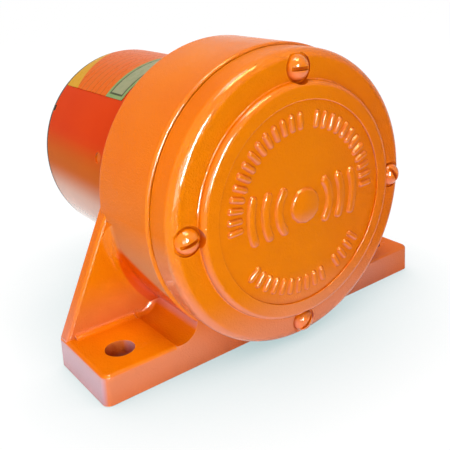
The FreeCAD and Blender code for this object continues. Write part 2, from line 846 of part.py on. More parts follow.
def armature_windings():
    """Coils in the slots, joined by the end turns at both faces of the core."""
    bar = Part.makeBox(slot_depth - 2 * winding_gap, armature_length + 2 * overcut,
                       slot_width - 2 * winding_gap,
                       Vector(slot_floor_r + winding_gap, armature_front - overcut,
                              axis_height - slot_width / 2 + winding_gap))
    long_edges = edges_where(bar, lambda e: e.BoundBox.YLength > armature_length)
    bar = bar.makeFillet(slot_corner_round - winding_gap, long_edges)
    front_turn = end_turn(armature_front - end_turn_length, armature_front - end_turn_core_gap,
                          end_turn_round, 0)
    rear_turn = end_turn(armature_rear + end_turn_core_gap, armature_rear + end_turn_length,
                         0, end_turn_round)
    return front_turn.multiFuse([rear_turn] + repeated(bar, slot_count))


def commutator():
    body = turned([
        (riser_r, riser_front, riser_edge_round),
        (riser_r, commutator_front),
        (commutator_d / 2, commutator_front, commutator_edge_round),
        (commutator_d / 2, commutator_rear),
        (armature_seat_d / 2, commutator_rear),
        (armature_seat_d / 2, riser_front),
    ])
    slit = Part.makeBox(riser_r, commutator_rear - riser_front + 2 * overcut, segment_slit,
                        Vector(commutator_d / 2 - segment_slit_depth, riser_front - overcut,
                               axis_height - segment_slit / 2))
    return body.cut(repeated(slit, segment_count, 180.0 / segment_count))


def pin(radius, inner_r, outer_r, y):
    """Cylinder standing on the shaft line along +X, between two radii."""
    return Part.makeCylinder(radius, outer_r - inner_r, Vector(inner_r, y, axis_height), X_AXIS)


def magnet_screw_angles():
    return [magnet_screw_angle, -magnet_screw_angle, 180 - magnet_screw_angle, 180 + magnet_screw_angle]


def motor_shell():
    tube = ring(shell_r, shell_inner_r, shell_front, shell_rear, shell_edge_round)
    notch = Part.makeBox(shell_wall + 2 * overcut, rim_notch_depth + overcut, rim_notch_width,
                         Vector(shell_inner_r - overcut, shell_rear - rim_notch_depth,
                                axis_height - rim_notch_width / 2))
    cuts = [spun(notch, angle) for angle in rim_notch_angles]
    bore = pin(magnet_screw_d / 2, shell_inner_r - overcut, shell_r + overcut, magnet_middle)
    sink = pin(magnet_screw_head_d / 2, shell_r - magnet_screw_seat_depth, shell_r + overcut, magnet_middle)
    for angle in magnet_screw_angles():
        cuts += [spun(bore, angle), spun(sink, angle)]
    return tube.cut(cuts)


def magnet_screws():
    seat_r = shell_r - magnet_screw_seat_depth
    shank = pin(magnet_screw_d / 2, shell_inner_r - magnet_screw_grip, seat_r, magnet_middle)
    head = pin(magnet_screw_head_d / 2, seat_r, shell_r - magnet_screw_sink, magnet_middle)
    screw = fused([shank, head])
    return Part.makeCompound([spun(screw, angle) for angle in magnet_screw_angles()])


def field_magnets():
    ring_shape = ring(shell_inner_r, shell_inner_r - magnet_thickness, magnet_front, magnet_rear)
    half = math.radians(magnet_span / 2)
    reach = 2 * shell_r
    near = reach * math.cos(half)
    rise = reach * math.sin(half)
    sector = plate([(0, axis_height), (near, axis_height - rise), (reach, axis_height - rise),
                    (reach, axis_height + rise), (near, axis_height + rise)],
                   magnet_front - overcut, magnet_rear + overcut)
    magnet = ring_shape.common(sector)
    tap = pin(magnet_screw_d / 2, shell_inner_r - magnet_screw_grip, shell_inner_r + overcut, magnet_middle)
    taps = [spun(tap, angle) for angle in magnet_screw_angles()]
    return Part.makeCompound([magnet.cut(taps), mirrored(magnet).cut(taps)])


def brush(side):
    """Carbon brush above (side 1) or below (side -1) the commutator, curved to its face."""
    block = box(brush_width, brush_front, brush_rear, axis_height, axis_height + brush_back_r)
    block = block.cut(rod(brush_face_r, brush_front - overcut, brush_rear + overcut))
    return block if side > 0 else spun(block, 180)


def brush_holder(side):
    """Box guide on a post from the brush plate, closed over the spring, with a window in front."""
    inner_width = brush_width + 2 * brush_fit
    inner_front = brush_front - brush_fit
    inner_rear = brush_rear + brush_fit
    low = axis_height + riser_r + holder_riser_gap
    high = axis_height + holder_outer_r
    spring_low = axis_height + brush_back_r
    spring_high = axis_height + spring_base_r
    case = box(inner_width + 2 * holder_wall, inner_front - holder_wall, inner_rear + holder_wall, low, high)
    post = box(inner_width, inner_rear + holder_wall / 2, brush_plate_front, low + holder_post_inset,
               high - holder_post_inset)
    channel = box(inner_width, inner_front, inner_rear, low - overcut, spring_high)
    window = box(inner_width - 2 * holder_window_inset, inner_front - holder_wall - overcut,
                 inner_front + overcut, spring_low - 2 * holder_window_inset,
                 spring_high - holder_window_inset)
    holder = fused([case, post]).cut([channel, window])
    return holder if side > 0 else spun(holder, 180)


def brush_spring(side):
    """Coil spring between the brush and the closed end of its holder."""
    radius = (spring_coil_d - spring_wire_d) / 2
    length = spring_length - 2 * spring_end_gap - spring_wire_d
    start = axis_height + brush_back_r + spring_end_gap + spring_wire_d / 2
    helix = Part.makeHelix(spring_pitch, length, radius)
    section = Part.Wire(Part.makeCircle(spring_wire_d / 2, Vector(radius, 0, 0), Y_AXIS))
    coil = Part.Wire(helix).makePipeShell([section], True, True)
    coil.translate(Vector(0, brush_middle, start))
    return coil if side > 0 else spun(coil, 180)


def through_bolt_holes(front, rear):
    hole = rod(through_bolt_d / 2 + through_bolt_clearance, front, rear, through_bolt_circle_r)
    return [spun(hole, angle) for angle in through_bolt_angles]


def plate_screw_holes(rear):
    hole = rod(plate_screw_d / 2, brush_plate_front - overcut, rear, plate_screw_circle_r)
    return [spun(hole, angle) for angle in plate_screw_angles]


def brush_plate():
    hole_r = commutator_d / 2 + brush_plate_hole_margin
    disc = ring(shell_inner_r - brush_plate_fit, hole_r, brush_plate_front, brush_plate_rear)
    holes = through_bolt_holes(brush_plate_front - overcut, brush_plate_rear + overcut)
    return disc.cut(holes + plate_screw_holes(brush_plate_rear + overcut))


def brush_plate_screws():
    head = rod(plate_screw_head_d / 2, brush_plate_front - plate_screw_head_height, brush_plate_front,
               plate_screw_circle_r)
    shank = rod(plate_screw_d / 2, brush_plate_front, brush_plate_front + plate_screw_length,
                plate_screw_circle_r)
    screw = fused([head, shank])
    return Part.makeCompound([spun(screw, angle) for angle in plate_screw_angles])


def rear_end_cap():
    spigot_r = shell_inner_r - cap_fit
    hub_r = bush_d / 2 + cap_hub_wall
    corners = [
        (0, hub_rear),
        (hub_r, hub_rear, cap_hub_round),
        (hub_r, cap_rear),
        (shell_r, cap_rear, cap_rim_round),
        (shell_r, shell_rear),
        (spigot_r, shell_rear),
        (spigot_r, brush_plate_rear),
        (spigot_r - cap_spigot_wall, brush_plate_rear),
        (spigot_r - cap_spigot_wall, cap_inside, cap_inside_round),
        (hub_r, cap_inside, cap_inside_round),
        (hub_r, bush_front),
        (bush_d / 2, bush_front),
        (bush_d / 2, bush_rear),
        (0, bush_rear),
    ]
    cap = turned(corners)
    cuts = through_bolt_holes(brush_plate_rear - overcut, cap_rear + overcut)
    cuts += plate_screw_holes(brush_plate_front + plate_screw_length + plate_screw_tip_gap)
    cuts.append(rod(inlet_neck_d / 2, cap_inside - overcut, cap_rear + overcut, 0, axis_height - inlet_drop))
    return cap.cut(cuts)


def rear_bush():
    return ring(bush_d / 2, rear_journal_d / 2 + bush_clearance, bush_front, bush_rear)


def bush_retainer():
    outer_r = bush_d / 2 + cap_hub_wall - retainer_setback
    inner_r = thrust_washer_d / 2 + retainer_clearance
    clip = ring(outer_r, inner_r, bush_front - retainer_thickness, bush_front)
    slot = Part.makeBox(bush_d / 2, retainer_thickness + 2 * overcut, retainer_finger_slot,
                        Vector(0, bush_front - retainer_thickness - overcut,
                               axis_height - retainer_finger_slot / 2))
    return clip.cut(repeated(slot, retainer_finger_count))


def thrust_washers():
    washers = []
    for i in range(thrust_washer_count):
        front = commutator_rear + i * thrust_washer_thickness
        washers.append(ring(thrust_washer_d / 2, rear_journal_d / 2, front, front + thrust_washer_thickness))
    return Part.makeCompound(washers)


def through_bolts():
    reach = through_bolt_circle_r
    shank = rod(through_bolt_d / 2, bulkhead_rear - through_bolt_thread, cap_rear, reach)
    head = rod(through_bolt_head_d / 2, cap_rear, cap_rear + through_bolt_head_height, reach)
    slot = Part.makeBox(through_bolt_head_d + 2 * overcut, through_bolt_slot_depth + overcut,
                        through_bolt_slot_width,
                        Vector(reach - through_bolt_head_d / 2 - overcut,
                               cap_rear + through_bolt_head_height - through_bolt_slot_depth,
                               axis_height - through_bolt_slot_width / 2))
    bolt = fused([shank, head]).cut(slot)
    return Part.makeCompound([spun(bolt, angle) for angle in through_bolt_angles])


def cord_inlet():
    """Bushing in the end cap that a supply cord would pass through."""
    inner = inlet_bore_d / 2
    corners = [
        (inlet_neck_d / 2, inlet_front, inlet_tail_round),
        (inlet_neck_d / 2, cap_rear),
        (inlet_flange_d / 2, cap_rear),
        (inlet_flange_d / 2, inlet_flange_rear, inlet_flange_round),
        (inlet_nose_d / 2 + inlet_nose_flare, inlet_flange_rear, inlet_nose_root_round),
        (inlet_nose_d / 2, inlet_rear, inlet_nose_round),
        (inner, inlet_rear),
        (inner, inlet_front),
    ]
    bushing = turned(corners)
    bushing.translate(Vector(0, 0, -inlet_drop))
    return bushing


def type_label():
    """Thin sheet wrapped over the top of the motor shell."""
    rear = shell_rear - label_rear_margin
    front = rear - label_length
    sheet = ring(shell_r + label_glue + label_thickness, shell_r + label_glue, front, rear)
    half = math.radians(label_span / 2)
    reach = shell_r * 2
    wedge = plate([(0, axis_height), (-reach * math.sin(half), axis_height + reach * math.cos(half)),
                   (reach * math.sin(half), axis_height + reach * math.cos(half))],
                  front - overcut, rear + overcut)
    return sheet.common(wedge)


front_parts = bearing(front_journal_d, front_bearing_d, front_bearing_front, front_bearing_rear,
                      front_ball_count)
middle_parts = bearing(weight_seat_d, middle_bearing_d, middle_bearing_front, middle_bearing_rear,
                       middle_ball_count)

nodes = {
    "housing": housing(),
    "front_cover": front_cover(),
    "cover_gasket": cover_gasket(),
    "cover_screws": cover_screws(),
    "front_bearing_outer_race": front_parts[0],
    "front_bearing_inner_race": front_parts[1],
    "front_bearing_balls": front_parts[2],
    "front_bearing_cage": front_parts[3],
    "wave_washer": wave_washer(),
    "middle_bearing_outer_race": middle_parts[0],
    "middle_bearing_inner_race": middle_parts[1],
    "middle_bearing_balls": middle_parts[2],
    "middle_bearing_cage": middle_parts[3],
    "bearing_retaining_ring": bearing_retaining_ring(),
    "shaft_seal": shaft_seal(),
    "shaft": shaft(),
    "eccentric_weight": eccentric_weight(),
    "weight_key": weight_key(),
    "weight_set_screw": weight_set_screw(),
    "spacer_sleeves": spacer_sleeves(),
    "armature_core": armature_core(),
    "armature_windings": armature_windings(),
    "commutator": commutator(),
    "motor_shell": motor_shell(),
    "magnet_screws": magnet_screws(),
    "field_magnets": field_magnets(),
    "brush_plate": brush_plate(),
    "brush_plate_screws": brush_plate_screws(),
    "brush_holders": Part.makeCompound([brush_holder(1), brush_holder(-1)]),
    "upper_brush": brush(1),
    "lower_brush": brush(-1),
    "upper_brush_spring": brush_spring(1),
    "lower_brush_spring": brush_spring(-1),
    "rear_end_cap": rear_end_cap(),
    "rear_bush": rear_bush(),
    "bush_retainer": bush_retainer(),
    "thrust_washers": thrust_washers(),
    "through_bolts": through_bolts(),
    "cord_inlet": cord_inlet(),
    "type_label": type_label(),
}

for name, shape in nodes.items():
    shape.exportStep(f"parts/{name}.step")
    print(name, len(shape.Solids), "solids", round(shape.Volume / 1000, 2), "cm3, valid:", shape.isValid())
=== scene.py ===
import math
import bmesh
import bpy
from mathutils import Matrix, Vector


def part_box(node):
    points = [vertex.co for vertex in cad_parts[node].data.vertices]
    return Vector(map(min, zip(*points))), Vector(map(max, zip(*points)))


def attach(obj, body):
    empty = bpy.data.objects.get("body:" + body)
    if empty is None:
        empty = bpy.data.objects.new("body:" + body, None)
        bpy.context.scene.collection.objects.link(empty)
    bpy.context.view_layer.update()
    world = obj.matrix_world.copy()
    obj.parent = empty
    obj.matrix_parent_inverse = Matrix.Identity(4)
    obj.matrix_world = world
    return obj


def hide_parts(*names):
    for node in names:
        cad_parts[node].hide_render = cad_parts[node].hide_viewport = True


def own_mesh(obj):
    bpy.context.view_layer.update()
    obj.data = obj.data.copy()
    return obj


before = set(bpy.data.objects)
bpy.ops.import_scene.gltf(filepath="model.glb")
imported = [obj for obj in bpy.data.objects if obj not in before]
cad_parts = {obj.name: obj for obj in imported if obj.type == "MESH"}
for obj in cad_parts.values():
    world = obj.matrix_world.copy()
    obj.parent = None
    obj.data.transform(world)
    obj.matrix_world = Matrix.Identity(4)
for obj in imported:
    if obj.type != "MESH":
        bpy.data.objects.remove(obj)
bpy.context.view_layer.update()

scene = bpy.context.scene
print("frame loaded:", len(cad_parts), "nodes")

coverLow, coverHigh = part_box("front_cover")
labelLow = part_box("type_label")[0]
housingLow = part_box("housing")[0]
# the shaft runs along Y, and everything round is centred on this height
shaftHeight = (coverLow.z + coverHigh.z) / 2


# small helpers for node trees
def feed(tree, socket, value):
    if isinstance(value, bpy.types.NodeSocket):
        tree.links.new(value, socket)
    elif isinstance(value, tuple) and len(value) == 3 and socket.type == "RGBA":
        socket.default_value = (*value, 1)
    else:
        socket.default_value = value


def addNode(tree, kind, inputs=None, **settings):
    node = tree.nodes.new(kind)
    for name, value in settings.items():
        setattr(node, name, value)
    for name, value in (inputs or {}).items():
        feed(tree, node.inputs[name], value)
    return node


def calc(tree, operation, first, second=0.0, clamp=False):
    node = addNode(tree, "ShaderNodeMath", {0: first, 1: second}, operation=operation, use_clamp=clamp)
    return node.outputs[0]


def times(tree, first, *others):
    for other in others:
        first = calc(tree, "MULTIPLY", first, other)
    return first


def opposite(tree, mask):
    return calc(tree, "SUBTRACT", 1.0, mask)


def blendColour(tree, mask, first, second):
    return addNode(tree, "ShaderNodeMix", {0: mask, 6: first, 7: second}, data_type="RGBA").outputs[2]


def layColours(tree, colour, layers):
    # each layer is a mask and the colour that shows where the mask is 1
    for mask, shade in layers:
        colour = blendColour(tree, mask, colour, shade)
    return colour


def spread(tree, value, low, high, newLow=0.0, newHigh=1.0, smooth=False):
    kind = "SMOOTHSTEP" if smooth else "LINEAR"
    inputs = {0: value, 1: low, 2: high, 3: newLow, 4: newHigh}
    return addNode(tree, "ShaderNodeMapRange", inputs, interpolation_type=kind).outputs[0]


def noise(tree, place, scale, detail=2.0, rough=0.5):
    inputs = {"Vector": place, "Scale": scale, "Detail": detail, "Roughness": rough}
    return addNode(tree, "ShaderNodeTexNoise", inputs).outputs["Fac"]


def partPlace(tree):
    return addNode(tree, "ShaderNodeTexCoord").outputs["Object"]


def axes(tree, vector):
    return addNode(tree, "ShaderNodeSeparateXYZ", {0: vector}).outputs


def surfaceNormal(tree):
    return addNode(tree, "ShaderNodeNewGeometry").outputs["Normal"]


def seenDirectly(tree):
    # 1 where the camera, a reflection or clear material looks, 0 where light bounces
    path = addNode(tree, "ShaderNodeLightPath").outputs
    seen = calc(tree, "ADD", path["Is Camera Ray"], path["Is Glossy Ray"])
    return calc(tree, "ADD", seen, path["Is Transmission Ray"], clamp=True)


def openGroup(name, inputs, outputs):
    group = bpy.data.node_groups.new(name, "ShaderNodeTree")
    for label, kind, value in inputs:
        socket = group.interface.new_socket(name=label, in_out="INPUT", socket_type=kind)
        socket.default_value = value
    for label, kind in outputs:
        group.interface.new_socket(name=label, in_out="OUTPUT", socket_type=kind)
    return group, group.nodes.new("NodeGroupInput").outputs, group.nodes.new("NodeGroupOutput").inputs


def useGroup(tree, group, **inputs):
    node = tree.nodes.new("ShaderNodeGroup")
    node.node_tree = group
    for name, value in inputs.items():
        feed(tree, node.inputs[name], value)
    return node.outputs


# effects that several finishes share: how fine each noise is, and the band of it that counts
grainLook = {
    "mottle": 26.0, "mottleBand": (0.35, 0.65), "breakBand": (0.35, 0.6), "cloud": 160.0,
    "streakBand": (0.32, 0.68), "dust": 90.0, "dustBand": (0.3, 0.75), "dustFacing": (0.3, 1.0),
}


def buildCastSkin():
    # slow swells of sand-cast iron with the fine peel of thick enamel on top
    group, given, out = openGroup("castSkin", [
        ("Swell", "NodeSocketFloat", 130.0), ("Peel", "NodeSocketFloat", 700.0),
        ("PeelShare", "NodeSocketFloat", 0.4)],
        [("Height", "NodeSocketFloat"), ("Mottle", "NodeSocketFloat")])
    place = partPlace(group)
    swell = noise(group, place, given["Swell"], 2.0)
    peel = noise(group, place, given["Peel"], 2.0, 0.6)
    mixed = addNode(group, "ShaderNodeMix", {0: given["PeelShare"], 2: swell, 3: peel}).outputs[0]
    feed(group, out["Height"], mixed)
    mottle = noise(group, place, grainLook["mottle"], 3.0)
    feed(group, out["Mottle"], spread(group, mottle, *grainLook["mottleBand"]))
    return group


def buildCavityShade():
    # 1 deep in corners and seams, 0 on open faces
    group, given, out = openGroup("cavityShade", [
        ("Reach", "NodeSocketFloat", 0.003), ("Harshness", "NodeSocketFloat", 1.5)],
        [("Mask", "NodeSocketFloat")])
    around = addNode(group, "ShaderNodeAmbientOcclusion", {"Distance": given["Reach"]}, samples=8)
    shut = calc(group, "SUBTRACT", 1.0, around.outputs["AO"], clamp=True)
    feed(group, out["Mask"], calc(group, "POWER", shut, given["Harshness"]))
    return group


def buildEdgeRub():
    # 1 on sharp outer edges, broken up by noise
    group, given, out = openGroup("edgeRub", [
        ("Width", "NodeSocketFloat", 0.0006), ("Gain", "NodeSocketFloat", 6.0),
        ("Breaks", "NodeSocketFloat", 400.0)],
        [("Mask", "NodeSocketFloat")])
    rounded = addNode(group, "ShaderNodeBevel", {"Radius": given["Width"]}, samples=6).outputs[0]
    normals = {0: rounded, 1: surfaceNormal(group)}
    same = addNode(group, "ShaderNodeVectorMath", normals, operation="DOT_PRODUCT").outputs["Value"]
    turned = calc(group, "MULTIPLY", opposite(group, same), given["Gain"], clamp=True)
    breaks = noise(group, partPlace(group), given["Breaks"], 3.0)
    breaks = spread(group, breaks, *grainLook["breakBand"])
    feed(group, out["Mask"], calc(group, "MULTIPLY", turned, breaks, clamp=True))
    return group


def buildTurnedLines():
    # rings that a lathe leaves, about the shaft
    group, given, out = openGroup("turnedLines", [
        ("Lines", "NodeSocketFloat", 1500.0), ("Wobble", "NodeSocketFloat", 1.0)],
        [("Height", "NodeSocketFloat"), ("Tone", "NodeSocketFloat")])
    centred = {"Vector": partPlace(group), "Location": (0, 0, -shaftHeight)}
    shifted = addNode(group, "ShaderNodeMapping", centred)
    rings = addNode(group, "ShaderNodeTexWave", {
        "Vector": shifted.outputs[0], "Scale": given["Lines"], "Distortion": given["Wobble"],
        "Detail": 2.0}, wave_type="RINGS", rings_direction="Y").outputs["Fac"]
    cloud = noise(group, partPlace(group), grainLook["cloud"], 3.0)
    feed(group, out["Height"], rings)
    feed(group, out["Tone"], times(group, rings, cloud))
    return group


def buildPulledGrain():
    # streaks from drawing, rolling or brushing: the stretch is small along the streak
    group, given, out = openGroup("pulledGrain", [
        ("Stretch", "NodeSocketVector", (900.0, 40.0, 900.0))],
        [("Height", "NodeSocketFloat"), ("Tone", "NodeSocketFloat")])
    stretched = {"Vector": partPlace(group), "Scale": given["Stretch"]}
    drawn = addNode(group, "ShaderNodeMapping", stretched).outputs[0]
    streaks = noise(group, drawn, 1.0, 4.0, 0.65)
    feed(group, out["Height"], streaks)
    feed(group, out["Tone"], spread(group, streaks, *grainLook["streakBand"]))
    return group


def buildSettledDust():
    # a faint film on what faces up
    group, given, out = openGroup("settledDust", [
        ("Amount", "NodeSocketFloat", 0.2)],
        [("Mask", "NodeSocketFloat")])
    up = axes(group, surfaceNormal(group))["Z"]
    patchy = noise(group, partPlace(group), grainLook["dust"], 4.0)
    patchy = spread(group, patchy, *grainLook["dustBand"])
    lying = times(group, spread(group, up, *grainLook["dustFacing"]), patchy)
    feed(group, out["Mask"], calc(group, "MULTIPLY", lying, given["Amount"], clamp=True))
    return group


castSkin = buildCastSkin()
cavityShade = buildCavityShade()
edgeRub = buildEdgeRub()
turnedLines = buildTurnedLines()
pulledGrain = buildPulledGrain()
settledDust = buildSettledDust()
print("shared effects built")


# the finishes themselves
def startFinish(name, settings):
    material = bpy.data.materials.new(name)
    material.use_nodes = True
    tree = material.node_tree
    surface = tree.nodes["Principled BSDF"]
    for socket, value in settings.items():
        feed(tree, surface.inputs[socket], value)
    return material, tree, surface.inputs


def bump(tree, height, strength, depth):
    inputs = {"Height": height, "Strength": strength, "Distance": depth}
    return addNode(tree, "ShaderNodeBump", inputs).outputs[0]


# besides the paint's own fresh and mottled tones, each enamel lists painted shades (away from the top, on
# round sides, towards the right, under the back, in corners), painted floor reflections (low down, at the
# ends, on down-facing sides) and a lighter edge that is partly thinner paint and partly a painted
# highlight
enamelLooks = {
    "casting_enamel": {
        "fresh": (0.84, 0.205, 0.0008), "deep": (0.74, 0.140, 0.0005), "turn": (0.78, 0.205, 0.0008),
        "corner": (0.46, 0.045, 0.0004), "aged": (0.74, 0.115, 0.0006), "edge": (0.95, 0.33, 0.02),
        "sunk": (0.70, 0.085, 0.0005), "sunkLean": 8.0, "haze": (0.56, 0.30, 0.17), "hazeShare": 0.75,
        "low": (0.70, 0.215, 0.15), "lowShare": 0.55, "end": (0.56, 0.33, 0.42), "underFrom": -0.03,
        "swell": 140.0, "peel": 1500.0, "peelShare": 0.6, "strength": 0.5, "depth": 0.0008,
        "smooth": 0.05, "rough": 0.11, "reach": 0.012, "shine": 0.035, "rimGloss": 0.55},
    "shell_enamel": {
        "fresh": (0.74, 0.064, 0.0006), "deep": (0.62, 0.036, 0.0004), "turn": (0.54, 0.190, 0.0010),
        "corner": (0.40, 0.030, 0.0004), "aged": (0.66, 0.050, 0.0006), "edge": (0.93, 0.30, 0.02),
        "sunk": (0.60, 0.30, 0.20),
        "low": (0.62, 0.32, 0.20), "lowShare": 0.7, "end": (0.62, 0.32, 0.20), "underFrom": 0.04,
        "swell": 60.0, "peel": 420.0, "peelShare": 0.3, "strength": 0.25, "depth": 0.00015,
        "smooth": 0.08, "rough": 0.16, "reach": 0.006, "shine": 0.016, "rimGloss": 0.3},
    "painted_screw": {
        "fresh": (0.86, 0.220, 0.0015), "deep": (0.62, 0.090, 0.0008), "turn": (0.80, 0.180, 0.0010),
        "corner": (0.50, 0.055, 0.0006), "aged": (0.78, 0.150, 0.0010), "edge": (0.97, 0.42, 0.03),
        "sunk": (0.70, 0.085, 0.0005),
        "low": (0.80, 0.22, 0.11), "lowShare": 0.45, "end": (0.80, 0.22, 0.11), "underFrom": -0.03,
        "swell": 300.0, "peel": 900.0, "peelShare": 0.5, "strength": 0.35, "depth": 0.00025,
        "smooth": 0.06, "rough": 0.12, "reach": 0.0022, "shine": 0.06, "rimGloss": 0.7},
}
# where each tone starts and where it is full: places in metres, facings as parts of the normal
enamelBands = {
    "lowDown": (0.034, 0.004), "leftward": (0.100, 0.045), "notUp": (0.55, 0.15), "underDepth": 0.32,
    "coverBlend": 0.0008, "sunk": (-0.44, -0.50), "haze": (0.02, -0.26), "notFront": (-0.5, -0.2),
    "atEnd": (-0.6, -0.95), "turn": (0.40, 0.08), "roundSide": (-0.30, -0.05), "belowTop": (0.95, 0.75),
    "rightward": (0.005, 0.060), "agedShare": 0.6, "rimOuter": (-0.985, -0.93), "rimInner": (-0.10, -0.28),
}
# what all three enamels share
enamelCoat = {
    "tint": (1.0, 0.90, 0.60), "rough": 0.08, "ior": 1.65, "wetGloss": 0.8, "harshness": 1.4, "dust": 0.25,
    "rubWidth": 0.0009, "rubGain": 5.0, "rubBreaks": 500.0, "mottleShare": 0.55, "sideShare": 0.5,
    "rubShare": 0.6, "fleckScale": 1900.0, "fleckBand": (0.42, 0.58), "fleckLeast": 0.3,
}


def enamelMasks(tree, look, bands):
    spot = axes(tree, partPlace(tree))
    faced = axes(tree, surfaceNormal(tree))
    behind = spread(tree, spot["Y"], coverHigh.y, coverHigh.y + bands["coverBlend"])
    # glossier and paler low down towards the left and on what faces the floor: the gloss is the coat, the
    # paleness a painted reflection of the floor
    lowDown = spread(tree, spot["Z"], *bands["lowDown"], smooth=True)
    leftward = spread(tree, spot["X"], *bands["leftward"], smooth=True)
    pooled = times(tree, lowDown, leftward, spread(tree, faced["Z"], *bands["notUp"]))
    underTo = look["underFrom"] - bands["underDepth"]
    under = spread(tree, faced["Z"], look["underFrom"], underTo, smooth=True)
    masks = {}
    sunkFacing = faced["Z"]
    if "haze" in look:
        # of the castings only the cover is glossier and painted paler underneath, as a floor reflection;
        # down-facing round sides take a pale painted reflection of the floor
        under = times(tree, under, opposite(tree, behind))
        haze = times(tree, spread(tree, faced["Z"], *bands["haze"]), look["hazeShare"])
        masks["haze"] = times(tree, haze, spread(tree, faced["Y"], *bands["notFront"]))
        lean = times(tree, calc(tree, "SUBTRACT", spot["Y"], coverHigh.y), look["sunkLean"])
        sunkFacing = calc(tree, "SUBTRACT", faced["Z"], lean)
    masks["wet"] = calc(tree, "MAXIMUM", pooled, under)
    # painted reflection of the floor on the low faces at the left ends
    masks["atEnd"] = times(tree, pooled, spread(tree, faced["X"], *bands["atEnd"]))
    # behind the cover the underside is painted deeper, as shade; the shell's tone there is a paler painted
    # floor reflection
    masks["sunk"] = times(tree, behind, spread(tree, sunkFacing, *bands["sunk"]))
    # painted shade: faces turned away from the top take a darker tone
    masks["turn"] = spread(tree, faced["Z"], *bands["turn"], smooth=True)
    # painted shade: the round sides are redder than the faces towards the front and the top
    roundSide = spread(tree, faced["Y"], *bands["roundSide"])
    masks["side"] = times(tree, roundSide, spread(tree, faced["Z"], *bands["belowTop"]))
    # painted shade: darker towards the right
    masks["rightward"] = spread(tree, spot["X"], *bands["rightward"], 0.0, bands["agedShare"])
    # slanting rims, shoulders and screw heads
    rimOuter = spread(tree, faced["Y"], *bands["rimOuter"])
    masks["slant"] = times(tree, rimOuter, spread(tree, faced["Y"], *bands["rimInner"]))
    return masks


def enamelFinish(name, look, coat):
    material, tree, surface = startFinish(name, {
        "Metallic": 0.0, "IOR": 1.5, "Specular IOR Level": look["shine"], "Specular Tint": coat["tint"],
        "Coat Roughness": coat["rough"], "Coat IOR": coat["ior"]})
    skin = useGroup(tree, castSkin, Swell=look["swell"], Peel=look["peel"], PeelShare=look["peelShare"])
    shut = useGroup(tree, cavityShade, Reach=look["reach"], Harshness=coat["harshness"])["Mask"]
    rubbed = useGroup(tree, edgeRub, Width=coat["rubWidth"], Gain=coat["rubGain"],
                      Breaks=coat["rubBreaks"])["Mask"]
    dust = useGroup(tree, settledDust, Amount=coat["dust"])["Mask"]
    masks = enamelMasks(tree, look, enamelBands)
    wet = times(tree, masks["wet"], opposite(tree, shut))
    mottled = blendColour(tree, skin["Mottle"], look["fresh"], look["deep"])
    colour = layColours(tree, look["fresh"], [
        # the random mottle, then painted shade on faces turned away from the top
        (coat["mottleShare"], mottled), (masks["turn"], look["turn"]),
        # painted shade on the round sides and towards the right
        (times(tree, masks["side"], coat["sideShare"]), look["deep"]), (masks["rightward"], look["aged"])])
    if "haze" in masks:
        # pale painted reflection of the floor on down-facing round sides
        colour = blendColour(tree, masks["haze"], colour, look["haze"])
    colour = layColours(tree, colour, [
        # under the parts behind the cover, painted shade on the castings and a painted floor reflection on
        # the shell; low down, a pale painted reflection of the floor
        (masks["sunk"], look["sunk"]), (times(tree, wet, look["lowShare"]), look["low"]),
        # a painted floor reflection at the low left ends; sharp edges lighter, partly thinner paint and
        # partly a painted highlight
        (masks["atEnd"], look["end"]), (times(tree, rubbed, coat["rubShare"]), look["edge"]),
        # painted shade in corners and seams
        (shut, look["corner"])])
    feed(tree, surface["Base Color"], colour)
    roughness = spread(tree, skin["Mottle"], 0.0, 1.0, look["smooth"], look["rough"])
    feed(tree, surface["Roughness"], calc(tree, "ADD", roughness, dust))
    # the thickest gloss lies on the slants, broken by the cast grain
    grain = noise(tree, partPlace(tree), coat["fleckScale"], 2.0)
    flecks = spread(tree, grain, *coat["fleckBand"], coat["fleckLeast"], 1.0)
    slant = times(tree, masks["slant"], flecks, look["rimGloss"])
    run = spread(tree, wet, 0.0, 1.0, 0.0, coat["wetGloss"])
    feed(tree, surface["Coat Weight"], calc(tree, "MAXIMUM", slant, run))
    feed(tree, surface["Normal"], bump(tree, skin["Height"], look["strength"], look["depth"]))
    return material


